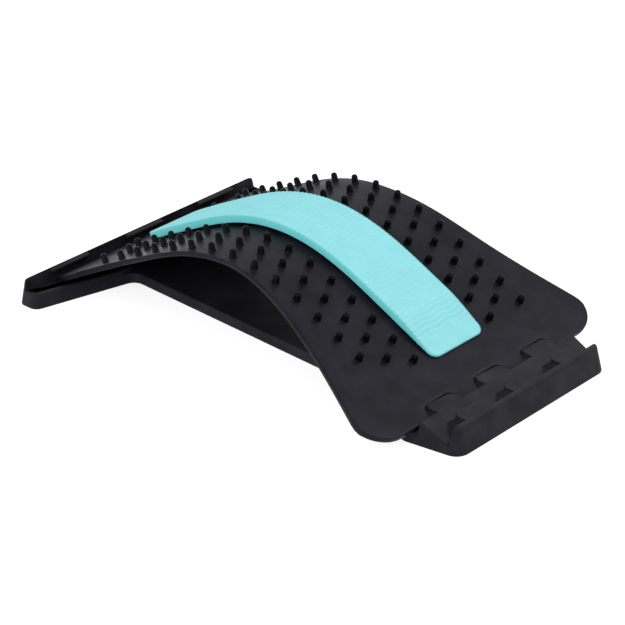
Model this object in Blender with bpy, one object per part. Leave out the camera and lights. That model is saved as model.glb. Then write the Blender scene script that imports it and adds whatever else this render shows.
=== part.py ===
"""Arched back stretcher: dog-bone base, sprung board with moulded nubs, adhesive film and foam pad.

Metres, +Z up. The origin is on the ground under the middle of the base. +X runs along the spine towards the
height-setting deck, and the board swings up about its fixed end at -X.
"""

import math

import bmesh
import bpy
import numpy as np
from mathutils import Matrix, Vector

# Clearances
SEAT_GAP = 0.0003
NOTCH_GAP = 0.0007

# Arch of the board: bend at the crown, length of the bent stretch each side, height of the crown
CROWN_BEND = 7.15
BENT_LENGTH = 0.0925
CROWN_TOP_Z = 0.0790

# Board sheet, with an edge that turns down all round and is deepest at the ends
BOARD_HALF_LENGTH = 0.1906
SHEET_THICKNESS = 0.0028
EDGE_DEPTH = 0.0036
END_LIP_DEPTH = 0.0046
EDGE_WIDTH = 0.0028
EDGE_CHAMFER = 0.0008
EDGE_STEP = 0.0002

# Plan of the board: half widths, where each flare starts, where the board is widest, corners
WAIST_HALF_WIDTH = 0.0828
DECK_END_HALF_WIDTH = 0.1216
FIXED_END_HALF_WIDTH = 0.0955
DECK_FLARE_START = 0.002
FIXED_FLARE_START = 0.118
FLARE_END_INSET = 0.019
FLARE_POWER = 1.40
DECK_CORNER_RADIUS = 0.0265
FIXED_CORNER_RADIUS = 0.0100
BOARD_STATIONS = 46

# Raised seat for the pad, moulded along the middle of the board
RIDGE_HALF_WIDTH = 0.0215
RIDGE_HALF_LENGTH = 0.156
RIDGE_HEIGHT = 0.0016
RIDGE_SLOPE = 0.0016

# Nubs
NUB_PITCH = 0.021
NUB_PER_COLUMN = 15
NUB_COLUMNS = (0.0407, 0.0580, 0.0752)
NUB_RADIUS = 0.0025
NUB_FOOT_RADIUS = 0.0031
NUB_FOOT_EDGE = 0.0002
NUB_FOOT_HEIGHT = 0.0011
NUB_TIP_RADIUS = 0.0014
NUB_TIP_HEIGHT = 0.0020
NUB_TAPER = 0.0002
NUB_HEIGHT = 0.0068
NUB_SIDES = 8

# Round-nosed bearing edges at the board's ends: three tabs at the fixed end, the whole edge at the deck
TAB_SPACING = 0.051
TAB_HALF_WIDTH = 0.0058
TAB_LENGTH = 0.0016
TAB_ROOT = 0.0030
TAB_THICKNESS = 0.0026
BEARING_HALF_SPAN = 0.076

# Film and pad
FILM_THICKNESS = 0.0005
FILM_HALF_WIDTH = 0.020
FILM_HALF_LENGTH = 0.150
FILM_STATIONS = 30
PAD_HALF_WIDTH = 0.0267
PAD_HALF_LENGTH = 0.1545
PAD_THICKNESS = 0.0078
PAD_EDGE_RADIUS = 0.0030
PAD_CORNER_RADIUS = 0.0095
PAD_STATIONS = 44

# Rims beyond the board's fixed end and beyond the last row
FIXED_RIM = 0.0066
DECK_RIM = 0.0095

# Base outline on the ground: half widths, lengths of the two bars and the corners between them
FIXED_BAR_HALF_WIDTH = 0.1250
FIXED_BAR_TIP_LENGTH = 0.0205
FIXED_BAR_ROOT_LENGTH = 0.0425
WAIST_ROOT_HALF_WIDTH = 0.0430
WAIST_DECK_HALF_WIDTH = 0.0540
DECK_FLARE_LENGTH = 0.0790
DECK_BAR_LENGTH = 0.0456
DECK_BAR_HALF_WIDTH = 0.0870
DECK_BAR_END_HALF_WIDTH = 0.0803
TIP_OUTER_RADIUS = 0.0075
TIP_INNER_RADIUS = 0.0075
WAIST_CORNER_RADIUS = 0.009
FLARE_CORNER_RADIUS = 0.030
DECK_INNER_RADIUS = 0.0075
DECK_OUTER_RADIUS = 0.0105

# Base heights and walls
RIM_HEIGHT = 0.020
WALL_DRAFT = 0.0036
RIM_EDGE_RADIUS = 0.0026
FLOOR_THICKNESS = 0.0028
SKIRT_WALL = 0.0028
RELIEF_HEIGHT = 0.0114
RELIEF_STEP = 0.0006

# Hold-down lips on the rim of the fixed end
LIP_SPACING = 0.0775
LIP_HALF_WIDTH = 0.0190
LIP_DROP = 0.0003
LIP_REACH = 0.0032
LIP_THICKNESS = 0.0020
LIP_UNDERCUT = 0.0019
LIP_ROOT = 0.0004
LIP_CHAMFER = 0.0008

# Rows of the height-setting deck
ROW_PITCH = 0.0248
ROW_COUNT = 3
ROW_WALL_LEAN = 0.0010
CREST_WIDTH = 0.0015

# Catches that reach out over the board's notches from each row, with an open slot under each
CATCH_SPACING = 0.051
CATCH_HALF_WIDTH = 0.0130
CATCH_REACH = 0.0100
CATCH_THICKNESS = 0.0024
CATCH_CORNER_RADIUS = 0.0045
CATCH_ROOT_RADIUS = 0.0005
CATCH_RIM_ROOT = 0.0026
SLOT_SIDE_GAP = 0.0022
SLOT_FRONT_GAP = 0.0035

# Hollow and ribs under the base
RIB_PITCH_X = 0.0410
RIB_PITCH_Y = 0.0360
RIB_THICKNESS = 0.0020
CORE_WALL = 0.0024
RIM_CORE_HEIGHT = 0.0140

ARC_STEP = math.radians(15)

CROWN_X = -(ROW_PITCH + DECK_RIM - FIXED_RIM) / 2


def clear_scene():
    for obj in list(bpy.data.objects):
        bpy.data.objects.remove(obj, do_unlink=True)


def material(name, colour, roughness, metallic=0.0):
    made = bpy.data.materials.new(name)
    made.use_nodes = True
    shader = made.node_tree.nodes["Principled BSDF"]
    shader.inputs["Base Color"].default_value = (*colour, 1.0)
    shader.inputs["Roughness"].default_value = roughness
    shader.inputs["Metallic"].default_value = metallic
    made.diffuse_color = (*colour, 1.0)
    return made


def object_from_bmesh(name, shape):
    bmesh.ops.recalc_face_normals(shape, faces=shape.faces)
    mesh = bpy.data.meshes.new(name)
    shape.to_mesh(mesh)
    shape.free()
    obj = bpy.data.objects.new(name, mesh)
    bpy.context.collection.objects.link(obj)
    return obj


def loft(name, sections):
    """A closed solid through rings of points, all with the same number of points, capped at both ends."""
    shape = bmesh.new()
    rings = [[shape.verts.new(point) for point in section] for section in sections]
    count = len(rings[0])
    for low, high in zip(rings, rings[1:]):
        for i in range(count):
            j = (i + 1) % count
            shape.faces.new((low[i], low[j], high[j], high[i]))
    shape.faces.new(rings[0][::-1])
    shape.faces.new(rings[-1])
    return object_from_bmesh(name, shape)


def join(name, objects):
    """Several solids that don't meet, as one mesh."""
    shape = bmesh.new()
    for obj in objects:
        shape.from_mesh(obj.data)
        bpy.data.objects.remove(obj, do_unlink=True)
    return object_from_bmesh(name, shape)


def as_helper(obj):
    obj.hide_render = True
    obj.display_type = "WIRE"
    return obj


def combine(obj, operation, other):
    modifier = obj.modifiers.new(f"{operation.lower()}_{other.name}", "BOOLEAN")
    modifier.operation = operation
    modifier.solver = "EXACT"
    modifier.object = as_helper(other)


def finish(obj, surface, sharp_angle=math.radians(35)):
    obj.data.materials.append(surface)
    obj.data.shade_smooth()
    obj.data.set_sharp_from_angle(angle=sharp_angle)


def rounded_outline(corners):
    """Plan points round a polygon whose corners are (x, y, radius), with an arc at each corner."""
    points = []
    for i, (x, y, radius) in enumerate(corners):
        here = Vector((x, y))
        before = (Vector(corners[i - 1][:2]) - here).normalized()
        after = (Vector(corners[(i + 1) % len(corners)][:2]) - here).normalized()
        half = before.angle(after) / 2
        centre = here + (before + after).normalized() * (radius / math.sin(half))
        first = here + before * (radius / math.tan(half)) - centre
        last = here + after * (radius / math.tan(half)) - centre
        turn = math.atan2(first.x * last.y - first.y * last.x, first.dot(last))
        steps = max(1, math.ceil(abs(turn) / ARC_STEP))
        for k in range(steps + 1):
            spoke = Matrix.Rotation(turn * k / steps, 2) @ first
            points.append(centre + spoke)
    return points


def inset(points, distance):
    """The same outline moved inwards by a distance, for a ring that runs anticlockwise."""
    moved = []
    for i, point in enumerate(points):
        before = (point - points[i - 1]).normalized()
        after = (points[(i + 1) % len(points)] - point).normalized()
        left_before = Vector((-before.y, before.x))
        left_after = Vector((-after.y, after.x))
        mitre = (left_before + left_after) / (1 + left_before.dot(left_after))
        moved.append(point + mitre * distance)
    return moved


def prism(name, outline, low, high):
    return loft(name, [[(p.x, p.y, z) for p in outline] for z in (low, high)])


def bar_across(name, profile, low_y, high_y):
    """An X-Z profile carried along Y."""
    return loft(name, [[(x, y, z) for x, z in profile] for y in (low_y, high_y)])


def box(name, low, high):
    (x0, y0, z0), (x1, y1, z1) = low, high
    return bar_across(name, [(x0, z0), (x1, z0), (x1, z1), (x0, z1)], y0, y1)


class Arch:
    """The line of the board's top surface: bent most at the crown, and straight beyond BENT_LENGTH."""

    def __init__(self):
        step = 0.0005
        self.along = np.arange(0, BOARD_HALF_LENGTH + END_LIP_DEPTH, step)
        bent = np.minimum(self.along, BENT_LENGTH)
        self.slope = CROWN_BEND * (bent - bent**3 / (3 * BENT_LENGTH**2))
        middle = (self.slope[1:] + self.slope[:-1]) / 2
        self.run = np.concatenate([[0], np.cumsum(np.cos(middle) * step)])
        self.drop = np.concatenate([[0], np.cumsum(np.sin(middle) * step)])

    def angle(self, s):
        return math.copysign(float(np.interp(abs(s), self.along, self.slope)), s)

    def point(self, s, height=0.0):
        """World (x, z) of the place at arc length s from the crown and a height above the top surface."""
        run = float(np.interp(abs(s), self.along, self.run))
        drop = float(np.interp(abs(s), self.along, self.drop))
        angle = self.angle(s)
        x = CROWN_X + math.copysign(run, s) + height * math.sin(angle)
        z = CROWN_TOP_Z - drop + height * math.cos(angle)
        return x, z

    def sweep(self, name, stations, section):
        """A solid swept along the arch. section(s) gives its (y, height above the board) points at s."""
        rings = []
        for s in stations:
            ring = []
            for y, height in section(s):
                x, z = self.point(s, height)
                ring.append((x, y, z))
            rings.append(ring)
        return loft(name, rings)


ARCH = Arch()


def smooth_step(t):
    t = min(max(t, 0.0), 1.0)
    return t**FLARE_POWER * (1 - (1 - t) ** 2 * t)


def board_half_width(s):
    """Half width of the board at arc length s, with the rounded corner at each end."""
    if s > 0:
        end_width, start, corner = DECK_END_HALF_WIDTH, DECK_FLARE_START, DECK_CORNER_RADIUS
    else:
        end_width, start, corner = FIXED_END_HALF_WIDTH, FIXED_FLARE_START, FIXED_CORNER_RADIUS
    widest = BOARD_HALF_LENGTH - FLARE_END_INSET
    t = (abs(s) - start) / (widest - start)
    width = WAIST_HALF_WIDTH + (end_width - WAIST_HALF_WIDTH) * smooth_step(t)
    past = abs(s) - (BOARD_HALF_LENGTH - corner)
    if past > 0:
        width -= corner - math.sqrt(max(0.0, corner**2 - past**2))
    return width


def edge_depth(s):
    """The turned-down edge deepens from the crown to the lips at the board's ends."""
    return EDGE_DEPTH + (END_LIP_DEPTH - EDGE_DEPTH) * (s / BOARD_HALF_LENGTH) ** 2


def ridge_height(s):
    """The pad's raised seat is highest at the crown and dies away at its ends."""
    return RIDGE_HEIGHT * max(0.0, 1 - (s / RIDGE_HALF_LENGTH) ** 2)


def stations_with_corners(half_length, near_corner, far_corner, count):
    """Places along the arch, close together where the rounded corners need them."""
    turns = [math.sin(math.radians(a)) for a in (15, 30, 45, 60, 75, 90)]
    before = [-half_length + near_corner * (1 - t) for t in reversed(turns)]
    straight = np.linspace(-half_length + near_corner, half_length - far_corner, count)
    after = [half_length - far_corner * (1 - t) for t in turns]
    return [*before, *straight, *after]


def board_stations():
    """The stations of the sheet, with a step at each end where the end lip begins."""
    corners = FIXED_CORNER_RADIUS, DECK_CORNER_RADIUS
    stations = stations_with_corners(BOARD_HALF_LENGTH, *corners, BOARD_STATIONS)
    lip_start = BOARD_HALF_LENGTH - EDGE_WIDTH
    steps = (lip_start - EDGE_STEP, lip_start)
    near_step = [s for s in stations if abs(abs(s) - lip_start) > EDGE_WIDTH / 2]
    return sorted(near_step + [side * s for side in (-1, 1) for s in steps])


def board_section(s):
    width = board_half_width(s)
    rise = ridge_height(s)
    deep = edge_depth(s)
    in_end_lip = abs(s) > BOARD_HALF_LENGTH - EDGE_WIDTH - EDGE_STEP / 2
    under = deep - EDGE_STEP if in_end_lip else SHEET_THICKNESS
    near_half = [
        (RIDGE_HALF_WIDTH - RIDGE_SLOPE, rise),
        (RIDGE_HALF_WIDTH, 0.0),
        (width - EDGE_CHAMFER, 0.0),
        (width, -EDGE_CHAMFER),
        (width, -deep),
        (width - EDGE_WIDTH, -deep),
        (width - EDGE_WIDTH, -under),
    ]
    return near_half + [(-y, height) for y, height in reversed(near_half)]


def nub_positions():
    """(s, y) of each nub. The middle column of each side stands half a pitch along from its neighbours."""
    places = []
    for side in (-1, 1):
        for column, y in enumerate(NUB_COLUMNS):
            staggered = column == 1
            count = NUB_PER_COLUMN - staggered
            first = -(count - 1) / 2
            skip_last = side == -1 and column == 2
            for k in range(count - skip_last):
                places.append(((first + k) * NUB_PITCH, side * y))
    return places


def nub(name, s, y):
    """A post with a flared foot and a round tip, square to the sheet."""
    x, z = ARCH.point(s)
    lean = Matrix.Rotation(ARCH.angle(s), 4, "Y")
    rings = [(NUB_FOOT_RADIUS, -SHEET_THICKNESS / 2), (NUB_FOOT_RADIUS, NUB_FOOT_EDGE)]
    rings += [(NUB_RADIUS, NUB_FOOT_HEIGHT), (NUB_RADIUS - NUB_TAPER, NUB_HEIGHT - NUB_TIP_HEIGHT)]
    rings.append((NUB_TIP_RADIUS, NUB_HEIGHT))
    sections = []
    for radius, height in rings:
        section = []
        for k in range(NUB_SIDES):
            turn = 2 * math.pi * (k + 0.5) / NUB_SIDES
            spoke = lean @ Vector((radius * math.cos(turn), radius * math.sin(turn), height))
            section.append((x + spoke.x, y + spoke.y, z + spoke.z))
        sections.append(section)
    return loft(name, sections)


def tab_tip(side):
    """World (x, z) of the middle of the round tip of the tabs at one end."""
    x, z = ARCH.point(side * BOARD_HALF_LENGTH, -SHEET_THICKNESS / 2)
    angle = abs(ARCH.angle(side * BOARD_HALF_LENGTH))
    reach = TAB_LENGTH - TAB_THICKNESS / 2
    return x + side * reach * math.cos(angle), z - reach * math.sin(angle)


def tab(name, side, low_y, high_y):
    """An edge that carries the sheet on past the board's end, with a round nose."""
    x, z = tab_tip(side)
    angle = abs(ARCH.angle(side * BOARD_HALF_LENGTH))
    radius = TAB_THICKNESS / 2
    back = TAB_LENGTH + TAB_ROOT
    outline = [(-back, -radius)]
    outline += [(radius * math.sin(a), -radius * math.cos(a)) for a in np.linspace(0, math.pi, 9)]
    outline.append((-back, radius))
    profile = []
    for along, up in outline:
        px = along * math.cos(angle) + up * math.sin(angle)
        pz = -along * math.sin(angle) + up * math.cos(angle)
        profile.append((x + side * px, z + pz))
    return bar_across(name, profile, low_y, high_y)


def in_threes(spacing):
    return (-spacing, 0.0, spacing)


def notch_cutters():
    """Clears the board's deck end round the catches of the row that it stands in."""
    half = CATCH_HALF_WIDTH + SLOT_SIDE_GAP
    start = row_walls()[1] - CATCH_REACH - NOTCH_GAP
    radius = CATCH_CORNER_RADIUS + NOTCH_GAP
    notches = []
    for i, y in enumerate(in_threes(CATCH_SPACING)):
        low, high = y - half, y + half
        stop = start + ROW_PITCH
        corners = [(start, low, radius), (stop, low, radius), (stop, high, radius), (start, high, radius)]
        notches.append(prism(f"notch_{i}", rounded_outline(corners), 0.0, CROWN_TOP_Z))
    return join("notch_cutters", notches)


def build_board(surface):
    board = ARCH.sweep("arched_board", board_stations(), board_section)
    nubs = [nub(f"nub_{i}", s, y) for i, (s, y) in enumerate(nub_positions())]
    edges = [tab("deck_edge", 1, -BEARING_HALF_SPAN, BEARING_HALF_SPAN)]
    for i, y in enumerate(in_threes(TAB_SPACING)):
        edges.append(tab(f"fixed_tab_{i}", -1, y - TAB_HALF_WIDTH, y + TAB_HALF_WIDTH))
    combine(board, "UNION", join("nubs", nubs))
    combine(board, "UNION", join("bearing_edges", edges))
    combine(board, "DIFFERENCE", notch_cutters())
    finish(board, surface)
    return board


def build_film(surface):
    def section(s):
        low = ridge_height(s) + SEAT_GAP
        high = low + FILM_THICKNESS
        return [
            (FILM_HALF_WIDTH, low),
            (FILM_HALF_WIDTH, high),
            (-FILM_HALF_WIDTH, high),
            (-FILM_HALF_WIDTH, low),
        ]

    stations = np.linspace(-FILM_HALF_LENGTH, FILM_HALF_LENGTH, FILM_STATIONS)
    film = ARCH.sweep("pad_adhesive_film", stations, section)
    finish(film, surface)
    return film


def build_pad(surface):
    def section(s):
        past = max(0.0, abs(s) - (PAD_HALF_LENGTH - PAD_CORNER_RADIUS))
        width = PAD_HALF_WIDTH - PAD_CORNER_RADIUS
        width += math.sqrt(max(0.0, PAD_CORNER_RADIUS**2 - past**2))
        low = ridge_height(s) + 2 * SEAT_GAP + FILM_THICKNESS
        high = low + PAD_THICKNESS
        half = [(width, low)]
        for a in (0, 30, 60, 90):
            turn = math.radians(a)
            across = width - PAD_EDGE_RADIUS * (1 - math.cos(turn))
            half.append((across, high - PAD_EDGE_RADIUS * (1 - math.sin(turn))))
        return half + [(-y, height) for y, height in reversed(half)]

    stations = stations_with_corners(PAD_HALF_LENGTH, PAD_CORNER_RADIUS, PAD_CORNER_RADIUS, PAD_STATIONS)
    pad = ARCH.sweep("foam_pad", stations, section)
    finish(pad, surface)
    return pad


def row_walls():
    """X of the upright wall of each row. The board's deck end bears on the middle one."""
    engaged = tab_tip(1)[0] + TAB_THICKNESS / 2 + SEAT_GAP
    return [engaged + (k - 1) * ROW_PITCH for k in range(ROW_COUNT)]


def fixed_wall():
    """X of the inner face of the rim that the tabs of the fixed end bear on."""
    return tab_tip(-1)[0] - TAB_THICKNESS / 2 - SEAT_GAP


def base_half_length():
    """The base reaches a rim's width past the fixed end's wall and past the last row's."""
    return (row_walls()[-1] + DECK_RIM - fixed_wall() + FIXED_RIM) / 2


def beyond():
    """A distance that is outside the base on every side, for cutters that run past it."""
    return 2 * base_half_length()


def ramp_level(x):
    """Height at x of the ramp that the board's end lip lies on. It is parallel to the board's end."""
    lip_x, lip_z = ARCH.point(BOARD_HALF_LENGTH, -END_LIP_DEPTH - SEAT_GAP)
    return lip_z - (x - lip_x) * math.tan(ARCH.angle(BOARD_HALF_LENGTH))


def foot_level():
    """Height of the bottom of each ramp, at the wall of its row."""
    return ramp_level(row_walls()[1])


def crest_level():
    """Height of the top of each ramp, at the crest of the row before."""
    return ramp_level(row_walls()[0] + ROW_WALL_LEAN + CREST_WIDTH)


def seat_level():
    """Height of the floor that the lip of the fixed end stands on."""
    return ARCH.point(BOARD_HALF_LENGTH, -END_LIP_DEPTH)[1] - SEAT_GAP


def base_corners():
    """The dog-bone outline on the ground as (x, y, radius), anticlockwise from the fixed end's near tip."""
    end = base_half_length()
    near = [
        (-end, -FIXED_BAR_HALF_WIDTH, TIP_OUTER_RADIUS),
        (-end + FIXED_BAR_TIP_LENGTH, -FIXED_BAR_HALF_WIDTH, TIP_INNER_RADIUS),
        (-end + FIXED_BAR_ROOT_LENGTH, -WAIST_ROOT_HALF_WIDTH, WAIST_CORNER_RADIUS),
        (end - DECK_FLARE_LENGTH, -WAIST_DECK_HALF_WIDTH, FLARE_CORNER_RADIUS),
        (end - DECK_BAR_LENGTH, -DECK_BAR_HALF_WIDTH, DECK_INNER_RADIUS),
        (end, -DECK_BAR_END_HALF_WIDTH, DECK_OUTER_RADIUS),
    ]
    return near + [(x, -y, radius) for x, y, radius in reversed(near)]


def base_body():
    """The drafted outer form, up to the rims, with a rounded top edge."""
    ground = rounded_outline(base_corners())
    edge = RIM_EDGE_RADIUS
    rings = [(0.0, ground)]
    for turn in (0, 30, 60, 90):
        angle = math.radians(turn)
        height = RIM_HEIGHT - edge * (1 - math.sin(angle))
        rings.append((height, inset(ground, WALL_DRAFT + edge * (1 - math.cos(angle)))))
    return loft("base", [[(p.x, p.y, z) for p in ring] for z, ring in rings])


def deck_cutter():
    """Clears the space over the waist and shapes the saw-tooth rows, all in one profile along X."""
    floor, foot, crest = seat_level(), foot_level(), crest_level()
    walls = row_walls()
    start = -base_half_length() + FIXED_BAR_ROOT_LENGTH - WAIST_CORNER_RADIUS / 2
    dip = (floor - foot) / math.tan(ARCH.angle(BOARD_HALF_LENGTH))
    profile = [(start, floor), (walls[0] - dip, floor)]
    for wall in walls[:-1]:
        top = wall + ROW_WALL_LEAN
        profile += [(wall, foot), (top, crest), (top + CREST_WIDTH, crest)]
    profile += [(walls[-1], foot), (walls[-1] + 2 * ROW_WALL_LEAN, 2 * RIM_HEIGHT)]
    profile.append((start, 2 * RIM_HEIGHT))
    return bar_across("deck_cutter", profile, -beyond(), beyond())


def tray_cutter():
    """Hollows the fixed end's bar down to the floor that the board's end stands on."""
    floor = seat_level()
    inner = inset(rounded_outline(base_corners()), FIXED_RIM)
    tray = prism("tray_cutter", inner, floor, 2 * RIM_HEIGHT)
    limit_x = -base_half_length() + FIXED_BAR_ROOT_LENGTH
    limit = box("tray_limit", (-beyond(), -beyond(), -beyond()), (limit_x, beyond(), beyond()))
    combine(tray, "INTERSECT", limit)
    return tray


def relief_cutter():
    """Leaves the fixed end's bar at full height along its outer rim alone, so the board clears the rest."""
    limit_x = -base_half_length() + FIXED_BAR_ROOT_LENGTH
    low = (fixed_wall() + RELIEF_STEP, -beyond(), RELIEF_HEIGHT)
    return box("relief_cutter", low, (limit_x, beyond(), 2 * RIM_HEIGHT))


def lip(name, y):
    """A hold-down lip that reaches in over the board's end from just under the rim's top."""
    root, nose = fixed_wall() - LIP_ROOT, fixed_wall() + LIP_REACH
    top = RIM_HEIGHT - LIP_DROP
    low = top - LIP_THICKNESS
    profile = [(root, low - LIP_UNDERCUT), (nose, low)]
    profile += [(nose, top - LIP_CHAMFER), (nose - LIP_CHAMFER, top), (root, top)]
    return bar_across(name, profile, y - LIP_HALF_WIDTH, y + LIP_HALF_WIDTH)


def catch_tops():
    """(wall, height of the catch's top, how far its root goes in behind the wall) of each row."""
    walls = row_walls()
    rows = [(wall, crest_level(), ROW_WALL_LEAN + CREST_WIDTH / 2) for wall in walls[:-1]]
    return rows + [(walls[-1], RIM_HEIGHT, CATCH_RIM_ROOT)]


def catches():
    """Round-nosed tongues, three to a row, level with the top of the row that carries them."""
    made = []
    for row, (wall, top, root) in enumerate(catch_tops()):
        nose, back = wall - CATCH_REACH, wall + root
        for i, y in enumerate(in_threes(CATCH_SPACING)):
            low, high = y - CATCH_HALF_WIDTH, y + CATCH_HALF_WIDTH
            corners = [(nose, low, CATCH_CORNER_RADIUS), (back, low, CATCH_ROOT_RADIUS)]
            corners += [(back, high, CATCH_ROOT_RADIUS), (nose, high, CATCH_CORNER_RADIUS)]
            made.append(prism(f"catch_{row}_{i}", rounded_outline(corners), top - CATCH_THICKNESS, top))
    return join("catches", made)


def slot_half_width():
    return CATCH_HALF_WIDTH + SLOT_SIDE_GAP


def slot_length():
    return CATCH_REACH + SLOT_FRONT_GAP


def slot_cutters():
    """The slot right through the moulding under each catch, which lets the mould shape the catch."""
    slots = []
    for row, wall in enumerate(row_walls()):
        for i, y in enumerate(in_threes(CATCH_SPACING)):
            low = (wall - slot_length(), y - slot_half_width(), -RIM_HEIGHT)
            high = (wall, y + slot_half_width(), 2 * RIM_HEIGHT)
            slots.append(box(f"slot_{row}_{i}", low, high))
    return join("slot_cutters", slots)


def plate_cells():
    """The grid of ribbed cells under the fixed end's bar and the waist."""
    top = seat_level() - FLOOR_THICKNESS
    start, stop = -base_half_length(), row_walls()[0] - slot_length() - RIB_THICKNESS / 2
    columns = np.linspace(start, stop, round((stop - start) / RIB_PITCH_X) + 1)
    across = math.ceil(FIXED_BAR_HALF_WIDTH / RIB_PITCH_Y)
    half_rib = RIB_THICKNESS / 2
    cells = []
    for i, (left, right) in enumerate(zip(columns, columns[1:])):
        for j in range(-across, across):
            low = (left + half_rib, j * RIB_PITCH_Y + half_rib, -RIM_HEIGHT)
            high = (right - half_rib, (j + 1) * RIB_PITCH_Y - half_rib, top)
            cells.append(box(f"cell_{i}_{j}", low, high))
    return cells


def core_under_ramp(name, row, right, low_y, high_y):
    """A core under one ramp, from behind its crest to a given x, with a roof parallel to the ramp."""
    wall = row_walls()[row]
    shift = row_walls()[1] - row_walls()[row + 1]
    left = wall + ROW_WALL_LEAN + CORE_WALL
    shoulder = left + CREST_WIDTH
    fall = CORE_WALL / math.cos(ARCH.angle(BOARD_HALF_LENGTH))
    roof_left, roof_right = ramp_level(shoulder + shift) - fall, ramp_level(right + shift) - fall
    profile = [(left, -RIM_HEIGHT), (right, -RIM_HEIGHT), (right, roof_right)]
    profile += [(shoulder, roof_left), (left, roof_left)]
    return bar_across(name, profile, low_y, high_y)


def deck_cores():
    """Cores under the ramps, between and beside the slots, and one along the end rim."""
    walls = row_walls()
    side = slot_half_width() + CORE_WALL
    edges = [-beyond(), *(y + k * side for y in in_threes(CATCH_SPACING) for k in (-1, 1)), beyond()]
    cores = []
    lands = list(zip(edges[::2], edges[1::2]))
    for i, (low_y, high_y) in enumerate(lands):
        low = (walls[0] - slot_length(), low_y, -RIM_HEIGHT)
        high = (walls[0] - CORE_WALL, high_y, seat_level() - FLOOR_THICKNESS)
        cores.append(box(f"front_core_{i}", low, high))
    for row in range(ROW_COUNT - 1):
        right = walls[row + 1] - CORE_WALL
        for i, (low_y, high_y) in enumerate(lands):
            cores.append(core_under_ramp(f"land_core_{row}_{i}", row, right, low_y, high_y))
        right = walls[row + 1] - slot_length() - CORE_WALL
        for i, y in enumerate(in_threes(CATCH_SPACING)):
            low_y, high_y = y - slot_half_width(), y + slot_half_width()
            cores.append(core_under_ramp(f"catch_core_{row}_{i}", row, right, low_y, high_y))
    low = (walls[-1] + CORE_WALL, -beyond(), -RIM_HEIGHT)
    cores.append(box("rim_core", low, (base_half_length(), beyond(), RIM_CORE_HEIGHT)))
    return cores


def hollow_cutter():
    """The open underside of the moulding, kept inside the skirt."""
    hollow = join("hollow_cutter", plate_cells() + deck_cores())
    inner = inset(rounded_outline(base_corners()), SKIRT_WALL + WALL_DRAFT / 2)
    combine(hollow, "INTERSECT", prism("hollow_limit", inner, -RIM_HEIGHT / 2, RIM_HEIGHT))
    return hollow


def build_base(surface):
    base = base_body()
    combine(base, "DIFFERENCE", deck_cutter())
    combine(base, "DIFFERENCE", tray_cutter())
    combine(base, "DIFFERENCE", relief_cutter())
    lips = [lip(f"lip_{i}", y) for i, y in enumerate((-LIP_SPACING, 0.0, LIP_SPACING))]
    combine(base, "UNION", join("lips", lips))
    combine(base, "DIFFERENCE", slot_cutters())
    combine(base, "UNION", catches())
    combine(base, "DIFFERENCE", hollow_cutter())
    finish(base, surface)
    return base


def hang_on_hinge(objects):
    """Parents the moving pieces to an empty on the line where the fixed end's tabs turn."""
    x, z = tab_tip(-1)
    hinge = bpy.data.objects.new("board_hinge", None)
    hinge.location = (x, 0.0, z)
    bpy.context.collection.objects.link(hinge)
    for obj in objects:
        obj.parent = hinge
        obj.matrix_parent_inverse = Matrix.Translation((-x, 0.0, -z))


def main():
    clear_scene()
    base_plastic = material("base_plastic", (0.018, 0.018, 0.020), 0.48)
    board_plastic = material("board_plastic", (0.026, 0.026, 0.030), 0.42)
    adhesive = material("adhesive", (0.75, 0.75, 0.70), 0.5)
    foam = material("foam", (0.33, 0.85, 0.85), 0.65)
    build_base(base_plastic)
    hang_on_hinge([build_board(board_plastic), build_film(adhesive), build_pad(foam)])


main()
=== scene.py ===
"""Dresses the packed back stretcher: textured base, sprung board with round nubs, ribbed foam pad, stage."""

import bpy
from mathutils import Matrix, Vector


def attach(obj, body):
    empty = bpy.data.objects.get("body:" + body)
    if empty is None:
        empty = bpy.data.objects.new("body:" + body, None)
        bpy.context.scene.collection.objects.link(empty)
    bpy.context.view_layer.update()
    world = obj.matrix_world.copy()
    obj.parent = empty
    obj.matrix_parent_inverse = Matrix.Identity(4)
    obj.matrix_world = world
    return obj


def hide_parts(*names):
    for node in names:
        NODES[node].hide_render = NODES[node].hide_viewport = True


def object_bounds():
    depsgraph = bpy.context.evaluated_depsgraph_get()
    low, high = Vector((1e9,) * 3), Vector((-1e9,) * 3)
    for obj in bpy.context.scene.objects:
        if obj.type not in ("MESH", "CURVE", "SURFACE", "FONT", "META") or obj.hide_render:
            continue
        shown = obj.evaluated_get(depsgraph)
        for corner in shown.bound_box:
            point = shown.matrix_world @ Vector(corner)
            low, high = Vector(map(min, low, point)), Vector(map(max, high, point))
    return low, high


bl_info = {
    "name": "Back stretcher",
    "version": (1, 0, 0),
    "blender": (4, 5, 0),
    "location": "3D View > Sidebar > Stretcher",
    "description": "Builds the finished look of an arched back stretcher round its packed model",
    "category": "Add Mesh",
}

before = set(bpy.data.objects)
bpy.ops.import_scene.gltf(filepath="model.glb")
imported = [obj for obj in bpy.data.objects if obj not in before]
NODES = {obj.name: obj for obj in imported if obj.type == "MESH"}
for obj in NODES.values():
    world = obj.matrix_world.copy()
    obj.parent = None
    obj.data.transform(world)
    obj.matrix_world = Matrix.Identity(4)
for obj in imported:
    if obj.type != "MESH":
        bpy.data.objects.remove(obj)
CAD_LOW, CAD_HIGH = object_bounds()

import math

import bmesh
import bpy
import numpy as np
from bpy.props import FloatProperty, FloatVectorProperty, IntProperty, PointerProperty
from bpy.types import Operator, Panel, PropertyGroup
from mathutils import Matrix, Vector

# Vertices this close together are one: in the packed model's mesh, and in the pieces made here
CAD_WELD = 0.000005
WELD = 0.000002

# Colour of the gloss on the black plastics
COOL = (0.85, 0.82, 1.0)


def length(name, description, default):
    return FloatProperty(name=name, description=description, default=default, unit="LENGTH", precision=5)


def level(name, description, default):
    return FloatProperty(name=name, description=description, default=default, min=0.0)


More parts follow.
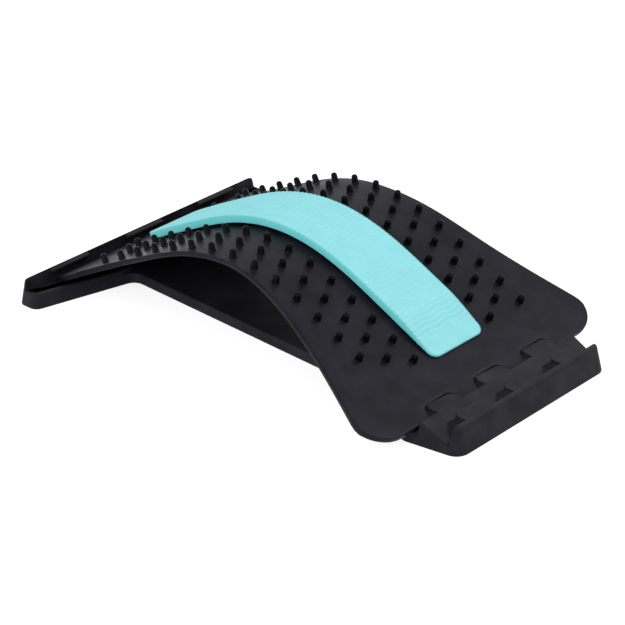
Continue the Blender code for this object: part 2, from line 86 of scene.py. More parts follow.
def colour(name, description, default):
    return FloatVectorProperty(
        name=name, description=description, default=default, subtype="COLOR", size=3, min=0.0, max=1.0
    )


def share(name, description, default):
    return FloatProperty(
        name=name, description=description, default=default, subtype="FACTOR", min=0.0, max=1.0
    )


class StretcherArch(PropertyGroup):
    """The line that the board's top surface follows."""

    crown_bend: FloatProperty(
        name="Crown bend", description="Curvature at the crown, per metre", default=7.15
    )
    bent_length: length("Bent length", "How far the bend goes on each side of the crown", 0.0925)
    crown_height: length("Crown height", "Height of the board's top surface at the crown", 0.0790)
    crown_x: length("Crown place", "Where the crown is along the base", -0.01385)


class StretcherBoard(PropertyGroup):
    """The sprung board."""

    half_length: length("Half length", "From the crown to each end, along the arch", 0.1906)
    thickness: length("Thickness", "Thickness of the sheet", 0.0028)
    edge_width: length("Edge width", "Width of the turned-down edge", 0.0028)
    edge_depth: length("Edge depth", "Depth of the turned-down edge at the crown", 0.0036)
    end_depth: length("End depth", "Depth of the turned-down edge at the board's ends", 0.0046)
    edge_radius: length("Edge radius", "Rounding of the edges", 0.0007)
    waist: length("Waist", "Half width at the crown", 0.0828)
    deck_end: length("Deck end", "Half width at the height-setting end", 0.1216)
    deck_flare: length("Deck flare", "Where the board starts to widen towards the deck", 0.002)
    deck_corner: length("Deck corner", "Rounding of the deck end's corners in plan", 0.0265)
    fixed_end: length("Fixed end", "Half width at the fixed end", 0.0955)
    fixed_flare: length("Fixed flare", "Where the board starts to widen towards the fixed end", 0.118)
    fixed_corner: length("Fixed corner", "Rounding of the fixed end's corners in plan", 0.0100)
    flare_inset: length("Flare inset", "How far before each end the board is widest", 0.019)
    flare_power: FloatProperty(name="Flare power", description="How late the waist widens", default=1.40)
    ridge_half_width: length("Ridge half width", "Half width of the raised seat under the pad", 0.0215)
    ridge_slope: length("Ridge slope", "Width of the slope beside the raised seat", 0.0016)
    ridge_half_length: length("Ridge half length", "Half length of the raised seat", 0.156)
    ridge_height: length("Ridge height", "Height of the raised seat at the crown", 0.0016)
    notch_place: length("Notch place", "Where the notches for the catches start along the base", 0.15363)
    notch_spacing: length("Notch spacing", "Distance between the notches", 0.051)
    notch_half_width: length("Notch half width", "Half width of a notch", 0.0152)
    notch_corner: length("Notch corner", "Rounding of a notch's inner corners", 0.0052)
    nose_radius: length("Nose radius", "Radius of the round noses that bear on the base", 0.0013)
    nose_reach: length("Nose reach", "How far the middle of a nose is beyond the board's end", 0.0003)
    bearing_half_span: length("Bearing half span", "Half length of the bearing edge at the deck", 0.076)
    tab_half_width: length("Tab half width", "Half width of a tab at the fixed end", 0.0058)
    tint: colour("Plastic", "Colour of the board's plastic", (0.0080, 0.0074, 0.0104))
    roughness: share("Roughness", "Roughness of the board's satin finish", 0.40)


class StretcherNubs(PropertyGroup):
    """The massage nubs moulded on the board."""

    pitch: length("Pitch", "Distance from nub to nub along the arch", 0.021)
    count: IntProperty(name="Count", description="Nubs in a long column", default=15, min=3)
    inner: length("Inner column", "Distance of the inner columns from the middle", 0.0407)
    middle: length("Middle column", "Distance of the staggered columns from the middle", 0.0580)
    outer: length("Outer column", "Distance of the outer columns from the middle", 0.0752)
    radius: length("Radius", "Radius of a nub", 0.0025)
    foot: length("Foot", "Radius of the flare at a nub's foot", 0.0031)
    height: length("Height", "Height of a nub over the board", 0.0068)
    roughness: share("Roughness", "Roughness of the nubs' polish", 0.24)


class StretcherPad(PropertyGroup):
    """The ribbed foam pad down the middle."""

    half_width: length("Half width", "Half width of the pad", 0.0272)
    half_length: length("Half length", "From the middle to each end, along the arch", 0.1532)
    ahead: length("Ahead", "How far the pad's middle is past the crown, towards the deck", 0.0012)
    thickness: length("Thickness", "Thickness of the foam", 0.0060)
    deck_thickness: length("Deck thickness", "Thickness of the pressed-down end at the deck", 0.0014)
    tip_thickness: length("Tip thickness", "Thickness of the foam's other end", 0.0052)
    taper: length("Taper", "How far from its ends the foam thins down", 0.040)
    lift: length("Lift", "Gap and tape under the foam", 0.0011)
    edge_radius: length("Edge radius", "Rounding of the top edge", 0.0011)
    corner: length("Corner radius", "Rounding of the corners in plan", 0.0070)
    rib_pitch: length("Rib pitch", "Distance between the wavy cross ribs", 0.0040)
    rib_depth: length("Rib depth", "Depth of the grooves between the ribs", 0.00062)
    wave_width: length("Wave width", "Length of one wave of a rib", 0.020)
    wave_swing: length("Wave swing", "How far a rib swings to each side", 0.0006)
    plain_end: length("Plain end", "Stretch without ribs at each end", 0.014)
    tint: colour("Foam", "Colour of the foam's skin", (0.266, 0.680, 0.722))
    # Painted shade: a deeper, more saturated teal for the sides, standing in for how the light falls on them
    side_shade_tint: colour("Painted side shade", "Colour of the foam's cut sides", (0.165, 0.690, 0.710))
    roughness: share("Roughness", "Roughness of the foam's skin", 0.72)


class StretcherBase(PropertyGroup):
    """The dog-bone base moulding."""

    edge: length("Edge", "Rounding of the moulding's edges", 0.0005)
    tint: colour("Plastic", "Colour of the base's plastic", (0.0110, 0.0104, 0.0135))
    roughness: share("Roughness", "Roughness of the base's fine texture", 0.50)
    grain: length("Grain", "Size of the moulding's texture", 0.0009)


class StretcherStage(PropertyGroup):
    """Floor, light and camera."""

    floor: colour("Floor", "Colour of the floor", (0.50, 0.50, 0.50))
    glow: level("Floor glow", "Light of the floor that lifts it to white", 0.80)
    sky: level("Sky", "Strength of the even light from all round", 0.72)
    behind: level("Back light", "Power of the lamp behind the object", 0.8)
    glint: level("Glint light", "Power of the small lamp that glints on the nubs", 6.0)
    deck: level("Deck light", "Power of the lamp at the deck's end", 2.4)
    near: level("Near light", "Power of the lamp at the near side", 10.0)
    lens: FloatProperty(name="Lens", description="Focal length for the sensor's width", default=133.78)
    sensor: FloatProperty(name="Sensor", description="Width of the camera's sensor in mm", default=36.0)


def board_line(arch):
    """Arc lengths from the crown, with the run, drop and slope of the board's top surface there."""
    step, reach = 0.0005, 0.2
    along = np.arange(0, reach, step)
    bent = np.minimum(along, arch.bent_length)
    slope = arch.crown_bend * (bent - bent**3 / (3 * arch.bent_length**2))
    middle = (slope[1:] + slope[:-1]) / 2
    run = np.concatenate([[0], np.cumsum(np.cos(middle) * step)])
    drop = np.concatenate([[0], np.cumsum(np.sin(middle) * step)])
    return along, run, drop, slope


def bend_on_arch(shape, arch):
    """Moves vertices from (arc length, across, height over the board) to their place on the arch."""
    along, run, drop, slope = board_line(arch)
    for vert in shape.verts:
        s, y, height = vert.co
        side = math.copysign(1.0, s)
        angle = side * float(np.interp(abs(s), along, slope))
        x = arch.crown_x + side * float(np.interp(abs(s), along, run)) + height * math.sin(angle)
        z = arch.crown_height - float(np.interp(abs(s), along, drop)) + height * math.cos(angle)
        vert.co = (x, y, z)


def flare(t, power):
    """Share of the widening that is done at a share t of the way."""
    t = min(max(t, 0.0), 1.0)
    return t**power * (1 - (1 - t) ** 2 * t)


def round_off(radius, past):
    """How much narrower a strip is at a place past the start of its rounded corner."""
    return radius - math.sqrt(max(0.0, radius**2 - max(0.0, past) ** 2))


def board_half_width(board, s, margin=0.0):
    """Half width at an arc length of the board's outline, or of that outline moved in by a margin."""
    if s > 0:
        end, start, corner = board.deck_end, board.deck_flare, board.deck_corner - margin
    else:
        end, start, corner = board.fixed_end, board.fixed_flare, board.fixed_corner - margin
    widest = board.half_length - board.flare_inset
    width = board.waist + (end - board.waist) * flare((abs(s) - start) / (widest - start), board.flare_power)
    return width - margin - round_off(corner, abs(s) - (board.half_length - margin - corner))


def ridge_height(board, s):
    """Height of the raised seat, which dies away towards its ends."""
    return board.ridge_height * max(0.0, 1 - (s / board.ridge_half_length) ** 2)


def places_along(half_length, near_corner, far_corner, count):
    """Stations along a strip, closer together in its rounded corners."""
    turns = [math.sin(math.radians(a)) for a in range(10, 91, 10)]
    near = [-half_length + near_corner * (1 - t) for t in reversed(turns)]
    far = [half_length - far_corner * (1 - t) for t in turns]
    return [*near, *np.linspace(-half_length + near_corner, half_length - far_corner, count), *far]


def turn_outward(shape):
    """Makes all faces point outwards, also on a thin bent strip, where the recalculation can get it wrong."""
    bmesh.ops.recalc_face_normals(shape, faces=shape.faces)
    if shape.calc_volume(signed=True) < 0:
        bmesh.ops.reverse_faces(shape, faces=shape.faces)


def new_piece(name, shape, body, surface, smooth_angle=40.0):
    """Turns a bmesh into a smooth-shaded piece that rides on a body."""
    mesh = bpy.data.meshes.new(name)
    shape.to_mesh(mesh)
    shape.free()
    mesh.materials.append(surface)
    mesh.shade_smooth()
    mesh.set_sharp_from_angle(angle=math.radians(smooth_angle))
    piece = bpy.data.objects.new(name, mesh)
    bpy.context.scene.collection.objects.link(piece)
    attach(piece, body)
    return piece


def strip_grid(stations, columns):
    """A flat grid with its rows at given arc lengths. columns(s) gives the places across at each of them."""
    across = len(columns(0.0))
    shape = bmesh.new()
    bmesh.ops.create_grid(shape, x_segments=len(stations) - 1, y_segments=across - 1, size=1.0)
    shape.verts.ensure_lookup_table()
    places = [columns(s) for s in stations]
    for vert in shape.verts:
        row = round((vert.co.x + 1) / 2 * (len(stations) - 1))
        column = round((vert.co.y + 1) / 2 * (across - 1))
        vert.co = (stations[row], places[row][column], 0.0)
    return shape


class Nodes:
    """A short way to lay out a material's nodes."""

    def __init__(self, name, specular=0.5, tint=(1.0, 1.0, 1.0)):
        self.material = bpy.data.materials.get(name) or bpy.data.materials.new(name)
        self.material.use_nodes = True
        self.tree = self.material.node_tree
        self.tree.nodes.clear()
        self.shader = self.add("ShaderNodeBsdfPrincipled")
        output = self.add("ShaderNodeOutputMaterial")
        self.link(self.shader.outputs["BSDF"], output.inputs["Surface"])
        self.shader.inputs["Specular IOR Level"].default_value = specular
        self.shader.inputs["Specular Tint"].default_value = (*tint, 1.0)
        self.place = self.add("ShaderNodeTexCoord").outputs["Object"]

    def add(self, kind, **settings):
        node = self.tree.nodes.new(kind)
        for key, value in settings.items():
            setattr(node, key, value)
        return node

    def link(self, source, target):
        self.tree.links.new(source, target)

    def noise(self, scale, detail, stretch=(1, 1, 1)):
        mapping = self.add("ShaderNodeMapping")
        mapping.inputs["Scale"].default_value = stretch
        self.link(self.place, mapping.inputs["Vector"])
        noise = self.add("ShaderNodeTexNoise")
        noise.inputs["Scale"].default_value = scale
        noise.inputs["Detail"].default_value = detail
        self.link(mapping.outputs["Vector"], noise.inputs["Vector"])
        return noise.outputs["Fac"]

    def spread(self, source, low, high, start=0.3, stop=0.7):
        """A texture's value between start and stop, as a value between low and high."""
        node = self.add("ShaderNodeMapRange")
        for key, value in zip(("From Min", "From Max", "To Min", "To Max"), (start, stop, low, high)):
            node.inputs[key].default_value = value
        self.link(source, node.inputs["Value"])
        return node.outputs["Result"]

    def blend(self, source, first, second):
        """A colour between two, by a value from 0 to 1."""
        node = self.add("ShaderNodeMix", data_type="RGBA")
        node.inputs[6].default_value = (*first, 1.0)
        node.inputs[7].default_value = (*second, 1.0)
        self.link(source, node.inputs[0])
        return node.outputs[2]

    def bump(self, source, distance, strength, after=None):
        node = self.add("ShaderNodeBump")
        node.inputs["Strength"].default_value = strength
        node.inputs["Distance"].default_value = distance
        self.link(source, node.inputs["Height"])
        if after is not None:
            self.link(after, node.inputs["Normal"])
        return node.outputs["Normal"]


def lighter(tint, factor):
    return tuple(min(1.0, c * factor) for c in tint)


def base_plastic(settings):
    """Black moulding with a fine spark texture, faint flow streaks and rubbed places."""
    made = Nodes("textured_base_plastic", 0.11, COOL)
    patches = made.spread(made.noise(52.0, 6.0), 0.0, 1.0, 0.40, 0.66)
    tint = made.blend(patches, settings.tint, lighter(settings.tint, 1.9))
    made.link(tint, made.shader.inputs["Base Color"])
    streaks = made.noise(60.0, 6.0, (1.0, 0.25, 1.0))
    rubbed = made.spread(streaks, settings.roughness - 0.06, settings.roughness + 0.08)
    made.link(rubbed, made.shader.inputs["Roughness"])
    grain = made.bump(made.noise(1.0 / settings.grain, 2.0), 0.00004, 0.55)
    made.link(made.bump(made.noise(140.0, 2.0), 0.00010, 0.5, grain), made.shader.inputs["Normal"])
    return made.material


def board_plastic(settings):
    """Satin charcoal moulding with a very fine texture."""
    made = Nodes("satin_board_plastic", 0.08, COOL)
    patches = made.spread(made.noise(48.0, 6.0), 0.0, 1.0, 0.40, 0.66)
    tint = made.blend(patches, settings.tint, lighter(settings.tint, 1.9))
    made.link(tint, made.shader.inputs["Base Color"])
    cloud = made.spread(made.noise(45.0, 5.0), settings.roughness - 0.09, settings.roughness + 0.09)
    made.link(cloud, made.shader.inputs["Roughness"])
    made.link(made.bump(made.noise(1500.0, 2.0), 0.00003, 0.5), made.shader.inputs["Normal"])
    return made.material


def nub_plastic(board, nubs):
    """The board's plastic on the nubs: polished, and painted darker than the board to stand in for the shade
    on them.
    """
    made = Nodes("polished_nub_plastic_painted_shade", 0.07, COOL)
    patches = made.spread(made.noise(90.0, 2.0), 0.0, 1.0)
    # Painted shade: the nubs' colour is the board's tint darkened to between a quarter and two fifths of it
    tint = made.blend(patches, lighter(board.tint, 0.25), lighter(board.tint, 0.4))
    made.link(tint, made.shader.inputs["Base Color"])
    cloud = made.spread(made.noise(300.0, 2.0), nubs.roughness - 0.05, nubs.roughness + 0.06)
    made.link(cloud, made.shader.inputs["Roughness"])
    return made.material


def foam(settings):
    """Closed-cell teal foam: a matt skin on top, a deeper teal painted on the cut sides as their shade, and
    fine pores.
    """
    made = Nodes("ribbed_teal_foam", 0.35)
    patches = made.spread(made.noise(70.0, 5.0), 0.0, 1.0)
    skin = made.blend(patches, lighter(settings.tint, 0.97), lighter(settings.tint, 1.03))
    # Painted shade: the sides and the lower part of the rounded edge get the deeper side colour
    cut = made.add("ShaderNodeAttribute", attribute_name="painted_side_shade")
    mix = made.add("ShaderNodeMix", data_type="RGBA")
    made.link(cut.outputs["Fac"], mix.inputs[0])
    made.link(skin, mix.inputs[6])
    mix.inputs[7].default_value = (*settings.side_shade_tint, 1.0)
    made.link(mix.outputs[2], made.shader.inputs["Base Color"])
    cloud = made.spread(made.noise(200.0, 3.0), settings.roughness - 0.06, settings.roughness + 0.08)
    made.link(cloud, made.shader.inputs["Roughness"])
    pores = made.add("ShaderNodeTexVoronoi")
    pores.inputs["Scale"].default_value = 2200.0
    made.link(made.place, pores.inputs["Vector"])
    made.link(made.bump(pores.outputs["Distance"], 0.00005, 0.4), made.shader.inputs["Normal"])
    return made.material


def tape():
    """The double-sided tape under the foam: pale, with a faint fibre."""
    made = Nodes("fibrous_tape")
    fibre = made.spread(made.noise(400.0, 4.0, (1.0, 0.15, 1.0)), 0.0, 1.0)
    made.link(made.blend(fibre, (0.62, 0.62, 0.57), (0.78, 0.78, 0.73)), made.shader.inputs["Base Color"])
    made.link(made.spread(fibre, 0.5, 0.65, 0.0, 1.0), made.shader.inputs["Roughness"])
    return made.material


def soften_edges(piece, width, segments, angle):
    bevel = piece.modifiers.new("soft_edges", "BEVEL")
    bevel.width = width
    bevel.segments = segments
    bevel.limit_method = "ANGLE"
    bevel.angle_limit = math.radians(angle)
    bevel.use_clamp_overlap = False


class STRETCHER_OT_base(Operator):
    """Gives the base moulding its texture and soft edges"""

    bl_idname = "stretcher.base"
    bl_label = "Base moulding"

    def execute(self, context):
        settings = context.scene.stretcher_base
        shape = bmesh.new()
        shape.from_mesh(NODES["base"].data)
        bmesh.ops.remove_doubles(shape, verts=shape.verts, dist=CAD_WELD)
        flat = math.radians(1.0)
        bmesh.ops.dissolve_limit(shape, angle_limit=flat, verts=shape.verts, edges=shape.edges)
        piece = new_piece("base_moulding", shape, "base", base_plastic(settings), 30.0)
        soften_edges(piece, settings.edge, 2, 35.0)
        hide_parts("base")
        return {"FINISHED"}


class STRETCHER_OT_board(Operator):
    """Builds the sprung board with its turned-down edge, its notches and the raised seat for the pad"""

    bl_idname = "stretcher.board"
    bl_label = "Sprung board"

    # Width of the step between the sheet's underside and its deeper edge
    EDGE_STEP = 0.0002
    # Loops of the grid between the pad's seat and the notches, and between the notches and the edge
    PLAIN_LOOPS = (0.029, 0.070, 0.077)

    def execute(self, context):
        arch, board = context.scene.stretcher_arch, context.scene.stretcher_board
        shape = self.top(arch, board)
        rim = [edge for edge in shape.edges if edge.is_boundary]
        self.underside(shape, board)
        self.round_edges(shape, board, rim)
        for vert in shape.verts:
            if vert.co.z == 0.0 and abs(vert.co.y) < board.ridge_half_width - board.ridge_slope / 2:
                vert.co.z = ridge_height(board, vert.co.x)
        self.noses(shape, board)
        bend_on_arch(shape, arch)
        turn_outward(shape)
        piece = new_piece("board_sheet", shape, "board", board_plastic(board))
        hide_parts("arched_board")
        return {"FINISHED"}

    def notch_start(self, arch, board):
        """Arc length at which the notches start, and the slope of the board there."""
        along, run, drop, slope = board_line(arch)
        start = float(np.interp(board.notch_place - arch.crown_x, run, along))
        return start, float(np.interp(start, along, slope))

    def top(self, arch, board):
        """The flat top sheet, moved in by the edge's rounding, with the notches left open."""
        margin = board.edge_radius
        start, slope = self.notch_start(arch, board)
        corner = board.notch_corner + margin
        start -= margin
        half = board.notch_half_width + margin
        centres = (0.0, board.notch_spacing)

        def notch(s):
            past = (s - start) * math.cos(slope)
            return half - round_off(corner, corner - past) if past > 0 else half - corner

        def columns(s):
            width = board_half_width(board, s, margin)
            wide = notch(s)
            seat = [board.ridge_half_width - board.ridge_slope, board.ridge_half_width]
            inner = [0.0, wide, *seat, self.PLAIN_LOOPS[0]]
            inner += [centres[1] - wide, centres[1] + wide, *self.PLAIN_LOOPS[1:]]
            lip = width + margin - board.edge_width
            outer = [inner[-1] + (lip - self.EDGE_STEP - inner[-1]) * f for f in (0.3, 0.6, 0.85, 1.0)]
            row = [*inner, *outer, lip, width]
            return [-y for y in reversed(row[1:])] + row

        corners = (board.fixed_corner - margin, board.deck_corner - margin)
        places = places_along(board.half_length - margin, *corners, 96)
        turns = [math.radians(turn) for turn in range(0, 91, 18)]
        arc = [start + corner * (1 - math.cos(turn)) / math.cos(slope) for turn in turns]
        lips = [board.half_length - board.edge_width - step for step in (0.0, self.EDGE_STEP)]
        fixed = [*arc, *lips, *(-s for s in lips)]
        places = [s for s in places if min(abs(s - f) for f in fixed) > 2 * self.EDGE_STEP]
        places = sorted(places + fixed)
        shape = strip_grid(places, columns)
        open_faces = []
        for face in shape.faces:
            middle = face.calc_center_median()
            beside = min(abs(abs(middle.y) - centre) for centre in centres)
            if middle.x > start and beside < half - corner:
                open_faces.append(face)
        bmesh.ops.delete(shape, geom=open_faces, context="FACES")
        return shape

    def bottom(self, board, place):
        """Height of the underside at a place on the sheet: lower in the turned-down edge than inside it."""
        s, y = place.x, abs(place.y)
        deep = board.edge_depth + (board.end_depth - board.edge_depth) * (s / board.half_length) ** 2
        near = board.edge_width + 5 * WELD
        in_edge = y > board_half_width(board, s, board.edge_radius) + board.edge_radius - near
        return -deep if in_edge or abs(s) > board.half_length - near else -board.thickness

    def underside(self, shape, board):
        copied = bmesh.ops.duplicate(shape, geom=[*shape.verts, *shape.edges, *shape.faces])["geom"]
        for vert in copied:
            if isinstance(vert, bmesh.types.BMVert):
                vert.co.z = self.bottom(board, vert.co)

    def outward(self, rim):
        """For each vertex of the sheet's rim, the mitre that points away from the sheet in plan."""
        sides = {}
        for edge in rim:
            first, last = (vert.co for vert in edge.verts)
            away = Vector((last.y - first.y, first.x - last.x, 0.0)).normalized()
            if away.dot(edge.link_faces[0].calc_center_median() - first) > 0:
                away.negate()
            for vert in edge.verts:
                sides.setdefault(vert, []).append(away)
        return {vert: (a + b) / (1 + a.dot(b)) for vert, (a, b) in sides.items()}

    def round_edges(self, shape, board, rim):
        """Joins the sheet's two sides all round with a rounded edge."""
        ring = {}
        for vert, away in self.outward(rim).items():
            ring[vert] = (vert.co.copy(), away, self.bottom(board, vert.co))
        steps = [(turn, False) for turn in (30, 60, 90)] + [(turn, True) for turn in (90, 60, 30, 0)]
        for turn, low in steps:
            out = board.edge_radius * math.sin(math.radians(turn))
            drop = board.edge_radius * (1 - math.cos(math.radians(turn)))
            made = bmesh.ops.extrude_edge_only(shape, edges=rim)["geom"]
            verts = [item for item in made if isinstance(item, bmesh.types.BMVert)]
            moved = {}
            for vert in verts:
                before = next(e.other_vert(vert) for e in vert.link_edges if e.other_vert(vert) in ring)
                place, away, bottom = moved[vert] = ring[before]
                vert.co = place + away * out
                vert.co.z = bottom + drop if low else -drop
            ring = moved
            edges = dict.fromkeys(edge for vert in verts for edge in vert.link_edges)
            rim = [edge for edge in edges if edge.is_boundary and all(v in moved for v in edge.verts)]
        bmesh.ops.remove_doubles(shape, verts=shape.verts, dist=WELD)

    def noses(self, shape, board):
        """The round noses that bear on the base: the deck's edge between its notches, and three tabs."""
        gap, step = board.notch_half_width, board.notch_spacing
        deck = [(gap, step - gap), (step + gap, board.bearing_half_span)]
        deck += [(-high, -low) for low, high in deck]
        tabs = [(y - board.tab_half_width, y + board.tab_half_width) for y in (-step, 0.0, step)]
        for side, spans in ((1, deck), (-1, tabs)):
            for low, high in spans:
                place = Matrix.Translation(
                    (side * (board.half_length + board.nose_reach), (low + high) / 2, -board.thickness / 2)
                )
                bmesh.ops.create_cone(
                    shape,
                    cap_ends=True,
                    segments=16,
                    radius1=board.nose_radius,
                    radius2=board.nose_radius,
                    depth=high - low,
                    matrix=place @ Matrix.Rotation(math.pi / 2, 4, "X"),
                )


class STRETCHER_OT_nubs(Operator):
    """Sets the round massage nubs on the board"""

    bl_idname = "stretcher.nubs"
    bl_label = "Massage nubs"

    # The foot's flare, as shares of its radius and heights over the board, and where the post starts
    FLARE = ((1.0, -0.0004), (0.97, 0.0002), (0.88, 0.0006))
    POST_START = 0.0012
    # Height of the dome and radius of the post under it, as shares of the nub's radius
    DOME = 0.78
    TOP = 0.93
    SIDES = 14

    def execute(self, context):
        arch, board = context.scene.stretcher_arch, context.scene.stretcher_board
        nubs = context.scene.stretcher_nubs
        shape = bmesh.new()
        for s, y in self.places(nubs):
            self.add_nub(shape, nubs, s, y)
        bmesh.ops.remove_doubles(shape, verts=shape.verts, dist=WELD)
        bmesh.ops.holes_fill(shape, edges=[edge for edge in shape.edges if edge.is_boundary], sides=0)
        surface = nub_plastic(board, nubs)
        bend_on_arch(shape, arch)
        turn_outward(shape)
        new_piece("massage_nubs", shape, "board", surface, 60.0)
        return {"FINISHED"}

    def places(self, nubs):
        """(arc length, across) of each nub. The middle column stands half a pitch along."""
        found = []
        for side in (-1, 1):
            for column, y in enumerate((nubs.inner, nubs.middle, nubs.outer)):
                count = nubs.count - (column == 1)
                missing = side == -1 and column == 2
                for k in range(count - missing):
                    found.append(((k - (count - 1) / 2) * nubs.pitch, side * y))
        return found

    def add_nub(self, shape, nubs, s, y):
        """One nub, turned from its profile: a flared foot, a slightly tapered post and a domed tip."""
        dome = nubs.radius * self.DOME
        top = nubs.radius * self.TOP
        profile = [(nubs.foot * part, height) for part, height in self.FLARE]
        profile += [(nubs.radius, self.POST_START), (top, nubs.height - dome)]
        for turn in (30, 55, 75):
            angle = math.radians(turn)
            profile.append((top * math.cos(angle), nubs.height - dome + dome * math.sin(angle)))
        chain = [shape.verts.new((s + radius, y, height)) for radius, height in profile]
        chain.append(shape.verts.new((s, y, nubs.height)))
        edges = [shape.edges.new(pair) for pair in zip(chain, chain[1:])]
        bmesh.ops.spin(
            shape,
            geom=[*chain, *edges],
            cent=(s, y, 0),
            axis=(0, 0, 1),
            angle=math.tau,
            steps=self.SIDES,
            use_merge=True,
        )


class STRETCHER_OT_pad(Operator):
    """Lays the ribbed foam pad along the board"""

    bl_idname = "stretcher.pad"
    bl_label = "Foam pad"

    STATIONS_PER_RIB = 8
    # Columns of the grid from the middle to the start of the edge's rounding, and turns of that rounding
    COLUMNS = 9
    TURNS = (90, 60, 35, 15)
    # Power of the curve that thins the ends: a higher one starts thinning them earlier
    END_CURVE = 1.6
    # Share of the edge's rounding that gets the sides' painted shade colour
    SIDE_SHADE_SHARE = 0.4

    def execute(self, context):
        arch, board = context.scene.stretcher_arch, context.scene.stretcher_board
        pad = context.scene.stretcher_pad
        straight = pad.half_length - pad.corner
        count = round(2 * straight / (pad.rib_pitch / self.STATIONS_PER_RIB)) + 1
        rounding = [pad.edge_radius * (1 - math.cos(math.radians(turn))) for turn in self.TURNS]

        def columns(s):
            width = self.half_width(pad, s)
            flat = width - pad.edge_radius
            half = [flat * k / self.COLUMNS for k in range(self.COLUMNS + 1)]
            half += [width - inset for inset in reversed(rounding[1:])] + [width]
            return [-y for y in reversed(half[1:])] + half

        shape = strip_grid(places_along(pad.half_length, pad.corner, pad.corner, count), columns)
        self.raise_top(shape, pad)
        rim = [edge for edge in shape.edges if edge.is_boundary]
        below = bmesh.ops.duplicate(shape, geom=[*shape.verts, *shape.edges, *shape.faces])["geom"]
        turned = bmesh.ops.extrude_edge_only(shape, edges=rim)["geom"]
        for item in [*below, *turned]:
            if isinstance(item, bmesh.types.BMVert):
                item.co.z = 0.0
        bmesh.ops.remove_doubles(shape, verts=shape.verts, dist=WELD)
        # Marks the sides and the lower part of the edge's rounding for the painted side shade
        layer = shape.verts.layers.float.new("painted_side_shade")
        for vert in shape.verts:
            across = self.half_width(pad, vert.co.x) - abs(vert.co.y)
            edge = min(across, pad.half_length - abs(vert.co.x))
            near_edge = 1 - edge / (pad.edge_radius * self.SIDE_SHADE_SHARE)
            vert[layer] = 1.0 if vert.co.z == 0.0 else min(1.0, max(0.0, near_edge))
            vert.co.x += pad.ahead
            vert.co.z += pad.lift + ridge_height(board, vert.co.x)
        bend_on_arch(shape, arch)
        turn_outward(shape)
        piece = new_piece("foam_spine_pad", shape, "board", foam(pad), 50.0)
        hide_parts("foam_pad")
        return {"FINISHED"}

    def half_width(self, pad, s):
        return pad.half_width - round_off(pad.corner, abs(s) - (pad.half_length - pad.corner))

    def raise_top(self, shape, pad):
        """Lifts the top to the foam's thickness, thins its ends, rounds its edge and presses the ribs in."""
        for vert in shape.verts:
            s, y = vert.co.x, vert.co.y
            to_end = pad.half_length - abs(s)
            edge = min(self.half_width(pad, s) - abs(y), to_end)
            into = min(1.0, max(0.0, edge / pad.edge_radius))
            thin = min(1.0, to_end / pad.taper)
            end = pad.deck_thickness if s > 0 else pad.tip_thickness
            full = end + (pad.thickness - end) * math.sin(thin * math.pi / 2) ** self.END_CURVE
            swing = pad.wave_swing * math.sin(math.tau * y / pad.wave_width)
            wave = (1 - math.cos(math.tau * (s + swing) / pad.rib_pitch)) / 2
            ribbed = min(1.0, max(0.0, (to_end - pad.plain_end) / pad.rib_pitch)) * into
            rounded = pad.edge_radius * (1 - math.sqrt(1 - (1 - into) ** 2))
            vert.co.z = full - rounded - pad.rib_depth * wave * ribbed


class STRETCHER_OT_tape(Operator):
    """Gives the tape under the pad its finish"""

    bl_idname = "stretcher.tape"
    bl_label = "Adhesive tape"

    def execute(self, context):
        node = NODES["pad_adhesive_film"]
        node.data.materials.clear()
        node.data.materials.append(tape())
        return {"FINISHED"}


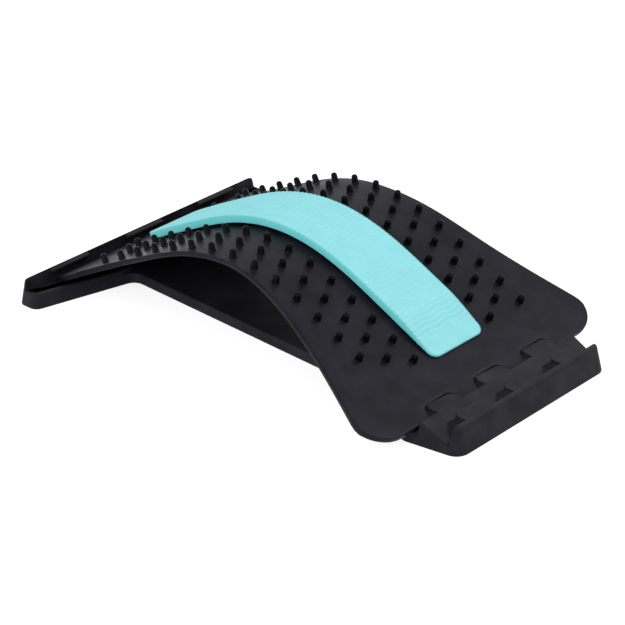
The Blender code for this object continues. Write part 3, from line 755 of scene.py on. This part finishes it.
class STRETCHER_OT_stage(Operator):
    """Sets the pale floor, the soft light and the camera"""

    bl_idname = "stretcher.stage"
    bl_label = "Stage"

    FLOOR_REACH = 6.0
    FLOOR_GAP = 0.0002
    # Middle of the object, which the lamps point at
    TARGET = Vector((0, 0, 0.03))
    # The camera's place, and the directions that are to its right, above it and behind it
    CAMERA_PLACE = (1.0430, -1.0876, 0.8045)
    CAMERA_RIGHT = (0.7274, 0.6857, -0.0257)
    CAMERA_UP = (-0.3036, 0.3551, 0.8842)
    CAMERA_BACK = (0.6154, -0.6354, 0.4665)

    def execute(self, context):
        stage = context.scene.stretcher_stage
        context.scene.view_settings.view_transform = "Standard"
        self.floor(stage)
        self.sky(context, stage)
        self.lamps(stage)
        self.camera(context, stage)
        return {"FINISHED"}

    def seen_directly(self, tree):
        """1 for camera, glossy and transmitted rays, and 0 for the rays that light the object."""
        path = tree.nodes.new("ShaderNodeLightPath")
        total = None
        for name in ("Is Camera Ray", "Is Glossy Ray", "Is Transmission Ray"):
            if total is None:
                total = path.outputs[name]
                continue
            add = tree.nodes.new("ShaderNodeMath")
            add.operation = "ADD"
            add.use_clamp = True
            tree.links.new(total, add.inputs[0])
            tree.links.new(path.outputs[name], add.inputs[1])
            total = add.outputs[0]
        return total

    def floor(self, stage):
        shape = bmesh.new()
        bmesh.ops.create_grid(shape, x_segments=2, y_segments=2, size=self.FLOOR_REACH)
        bmesh.ops.translate(shape, verts=shape.verts, vec=(0, 0, CAD_LOW.z - self.FLOOR_GAP))
        mesh = bpy.data.meshes.new("floor")
        shape.to_mesh(mesh)
        shape.free()
        made = bpy.data.materials.new("pale_floor")
        made.use_nodes = True
        tree = made.node_tree
        shader = tree.nodes["Principled BSDF"]
        shader.inputs["Base Color"].default_value = (*stage.floor, 1.0)
        shader.inputs["Roughness"].default_value = 0.9
        shader.inputs["Specular IOR Level"].default_value = 0.0
        shader.inputs["Emission Color"].default_value = (1, 1, 1, 1)
        amount = tree.nodes.new("ShaderNodeMath")
        amount.operation = "MULTIPLY"
        amount.inputs[1].default_value = stage.glow
        tree.links.new(self.seen_directly(tree), amount.inputs[0])
        tree.links.new(amount.outputs[0], shader.inputs["Emission Strength"])
        mesh.materials.append(made)
        floor = bpy.data.objects.new("floor", mesh)
        bpy.context.scene.collection.objects.link(floor)

    def sky(self, context, stage):
        world = bpy.data.worlds.new("studio")
        context.scene.world = world
        world.use_nodes = True
        tree = world.node_tree
        background = tree.nodes["Background"]
        background.inputs["Color"].default_value = (1, 1, 1, 1)
        amount = tree.nodes.new("ShaderNodeMapRange")
        amount.inputs["To Min"].default_value = stage.sky
        amount.inputs["To Max"].default_value = 1.0
        tree.links.new(self.seen_directly(tree), amount.inputs["Value"])
        tree.links.new(amount.outputs["Result"], background.inputs["Strength"])

    def lamps(self, stage):
        for name, place, size, power in (
            ("behind", (-0.55, 0.95, 1.10), 0.6, stage.behind),
            ("glint", (0.53, 0.93, 1.20), 0.22, stage.glint),
            ("deck_side", (1.40, 0.10, 0.55), 0.8, stage.deck),
            ("near_side", (0.10, -1.50, 0.80), 1.0, stage.near),
        ):
            lamp = bpy.data.lights.new(name, "AREA")
            lamp.size = size
            lamp.energy = power
            holder = bpy.data.objects.new(name, lamp)
            holder.location = place
            holder.rotation_mode = "QUATERNION"
            holder.rotation_quaternion = (self.TARGET - Vector(place)).to_track_quat("-Z", "Y")
            bpy.context.scene.collection.objects.link(holder)

    def camera(self, context, stage):
        axes = (self.CAMERA_RIGHT, self.CAMERA_UP, self.CAMERA_BACK)
        turned = Matrix(axes).transposed().to_4x4()
        turned.translation = self.CAMERA_PLACE
        data = bpy.data.cameras.new("camera")
        data.sensor_width = stage.sensor
        data.lens = stage.lens
        camera = bpy.data.objects.new("camera", data)
        camera.matrix_world = turned
        context.scene.collection.objects.link(camera)
        context.scene.camera = camera


class STRETCHER_PT_panel(Panel):
    """Lists the pieces and the stage in the sidebar"""

    bl_idname = "STRETCHER_PT_panel"
    bl_label = "Back stretcher"
    bl_space_type = "VIEW_3D"
    bl_region_type = "UI"
    bl_category = "Stretcher"

    def draw(self, context):
        for step in STEPS:
            self.layout.operator(step.bl_idname)
        for name in GROUPS:
            group = getattr(context.scene, name)
            box = self.layout.box()
            box.label(text=type(group).__doc__.rstrip("."))
            for key in group.bl_rna.properties.keys():
                if key not in ("rna_type", "name"):
                    box.prop(group, key)


STEPS = (
    STRETCHER_OT_base,
    STRETCHER_OT_board,
    STRETCHER_OT_nubs,
    STRETCHER_OT_pad,
    STRETCHER_OT_tape,
    STRETCHER_OT_stage,
)
GROUPS = {
    "stretcher_arch": StretcherArch,
    "stretcher_board": StretcherBoard,
    "stretcher_nubs": StretcherNubs,
    "stretcher_pad": StretcherPad,
    "stretcher_base": StretcherBase,
    "stretcher_stage": StretcherStage,
}


def register():
    for kind in (*GROUPS.values(), *STEPS, STRETCHER_PT_panel):
        bpy.utils.register_class(kind)
    for name, kind in GROUPS.items():
        setattr(bpy.types.Scene, name, PointerProperty(type=kind))


def unregister():
    for name in GROUPS:
        delattr(bpy.types.Scene, name)
    for kind in (STRETCHER_PT_panel, *reversed(STEPS), *reversed(GROUPS.values())):
        bpy.utils.unregister_class(kind)


def main():
    register()
    bpy.ops.stretcher.base()
    bpy.ops.stretcher.board()
    bpy.ops.stretcher.nubs()
    bpy.ops.stretcher.pad()
    bpy.ops.stretcher.tape()
    bpy.ops.stretcher.stage()


if __name__ == "__main__":
    main()
